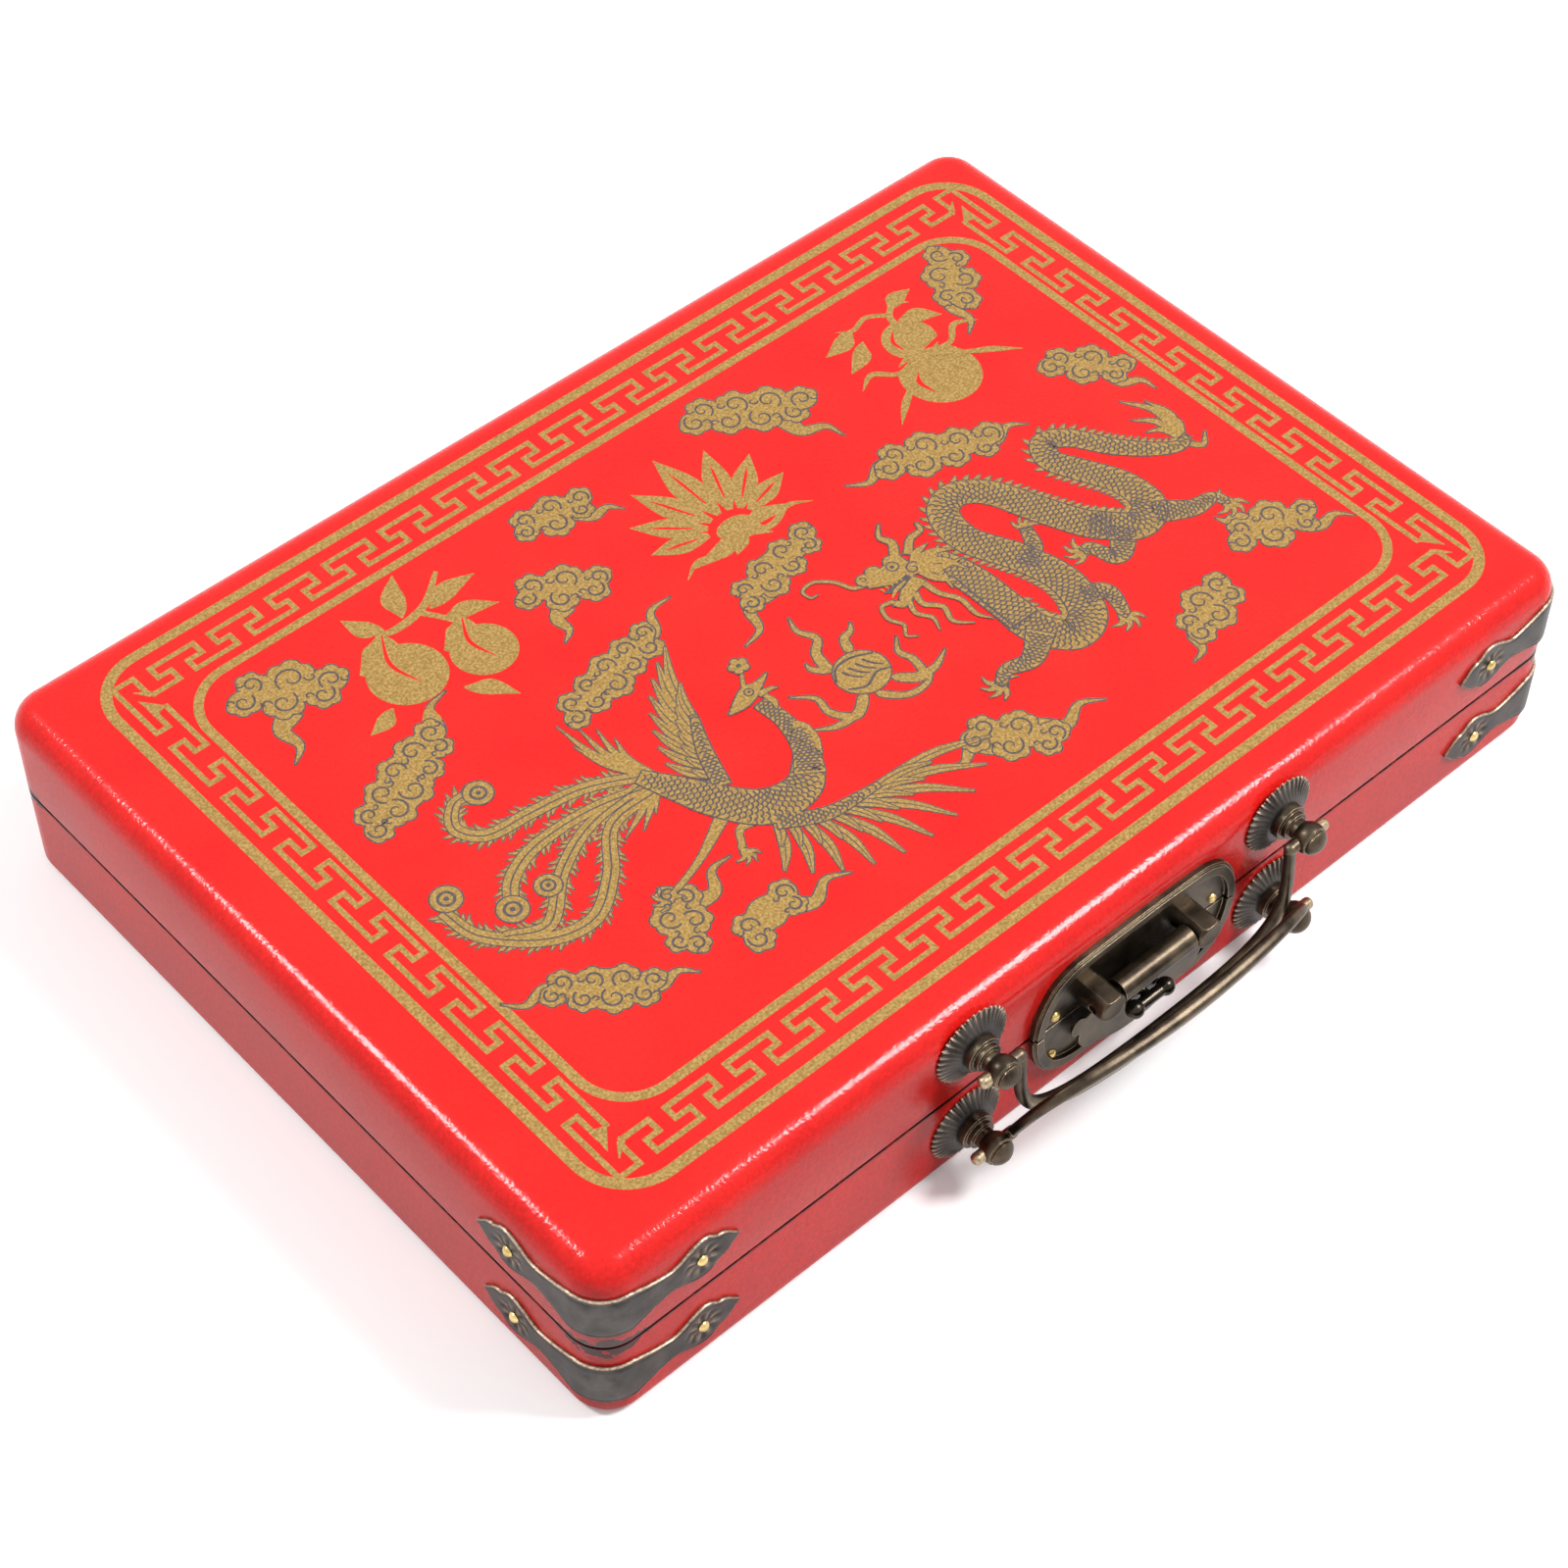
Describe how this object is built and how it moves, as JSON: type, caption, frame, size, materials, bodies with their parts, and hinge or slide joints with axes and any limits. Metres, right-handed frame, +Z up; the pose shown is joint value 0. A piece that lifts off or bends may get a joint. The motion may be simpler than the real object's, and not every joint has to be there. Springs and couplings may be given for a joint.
{
  "type": "hinged game case",
  "caption": "Flat hinged case for a tile game, red leather over wood, with a hasp latch, corner straps and two folding carrying bails.",
  "frame": {"origin": "middle of the underside of the closed case, handles left out", "axes": "+X along the handle side to the right, -Y out through the handle side, +Z up"},
  "size_m": [0.324, 0.2551, 0.0565],
  "materials": {
    "red_leather": "glossy red leather cloth",
    "black_felt": "short black felt",
    "flocked_tray": "flocked dark red",
    "box_wood": "plain unfinished board",
    "brass_nails": "polished domes",
    "hinge_brass": "dull stamped brass",
    "dark_steel": "dull",
    "antique_bronze": "antique bronze with rubbed edges"
  },
  "bodies": {
    "case_base": {"base_back_wall": "box_wood", "base_bracket_nails": "brass_nails", "base_felt": "black_felt", "base_front_wall": "box_wood", "base_hinge_nails": "brass_nails", "base_leather_cover": "red_leather", "base_left_bracket": "antique_bronze", "base_left_handle_post": "antique_bronze", "base_left_hinge_leaf": "hinge_brass", "base_left_rosette": "antique_bronze", "base_left_wall": "box_wood", "base_panel": "box_wood", "base_right_bracket": "antique_bronze", "base_right_handle_post": "antique_bronze", "base_right_hinge_leaf": "hinge_brass", "base_right_rosette": "antique_bronze", "base_right_wall": "box_wood", "base_tile_tray": "flocked_tray", "hinge_pins": "hinge_brass", "latch_lower_nails": "brass_nails", "latch_lower_plate": "antique_bronze", "latch_strike": "dark_steel"},
    "case_lid": {"latch_hinge_pin": "dark_steel", "latch_studs": "antique_bronze", "latch_upper_nails": "brass_nails", "latch_upper_plate": "antique_bronze", "lid_back_wall": "box_wood", "lid_bracket_nails": "brass_nails", "lid_front_wall": "box_wood", "lid_hinge_nails": "brass_nails", "lid_leather_cover": "red_leather", "lid_left_bracket": "antique_bronze", "lid_left_handle_post": "antique_bronze", "lid_left_hinge_leaf": "hinge_brass", "lid_left_rosette": "antique_bronze", "lid_left_wall": "box_wood", "lid_panel": "box_wood", "lid_right_bracket": "antique_bronze", "lid_right_handle_post": "antique_bronze", "lid_right_hinge_leaf": "hinge_brass", "lid_right_rosette": "antique_bronze", "lid_right_wall": "box_wood", "lid_tile_tray": "flocked_tray"},
    "latch_flap": {"latch_flap": "antique_bronze"},
    "latch_knob": {"latch_knob": "antique_bronze", "latch_cam": "dark_steel"},
    "lid_bail": {"lid_bail": "antique_bronze"},
    "base_bail": {"base_bail": "antique_bronze"}
  },
  "joints": [
    {"name": "lid_hinge", "type": "hinge", "parent": "case_base", "child": "case_lid", "pos_m": [0, 0.1152, 0.02825], "axis": [-1, 0, 0], "range_deg": [0, 180]},
    {"name": "latch_flap_hinge", "type": "hinge", "parent": "case_lid", "child": "latch_flap", "pos_m": [0.0045, -0.119, 0.03405], "axis": [-1, 0, 0], "range_deg": [0, 8]},
    {"name": "latch_knob_turn", "type": "hinge", "parent": "latch_flap", "child": "latch_knob", "pos_m": [0.0045, -0.1125, 0.02145], "axis": [0, -1, 0], "range_deg": [0, 90]},
    {"name": "lid_bail_swing", "type": "hinge", "parent": "case_lid", "child": "lid_bail", "pos_m": [0.0015, -0.1223, 0.04525], "axis": [-1, 0, 0], "range_deg": [-2.5, 1]},
    {"name": "base_bail_swing", "type": "hinge", "parent": "case_base", "child": "base_bail", "pos_m": [0.0015, -0.1223, 0.01495], "axis": [1, 0, 0], "range_deg": [0, 88]}
  ]
}
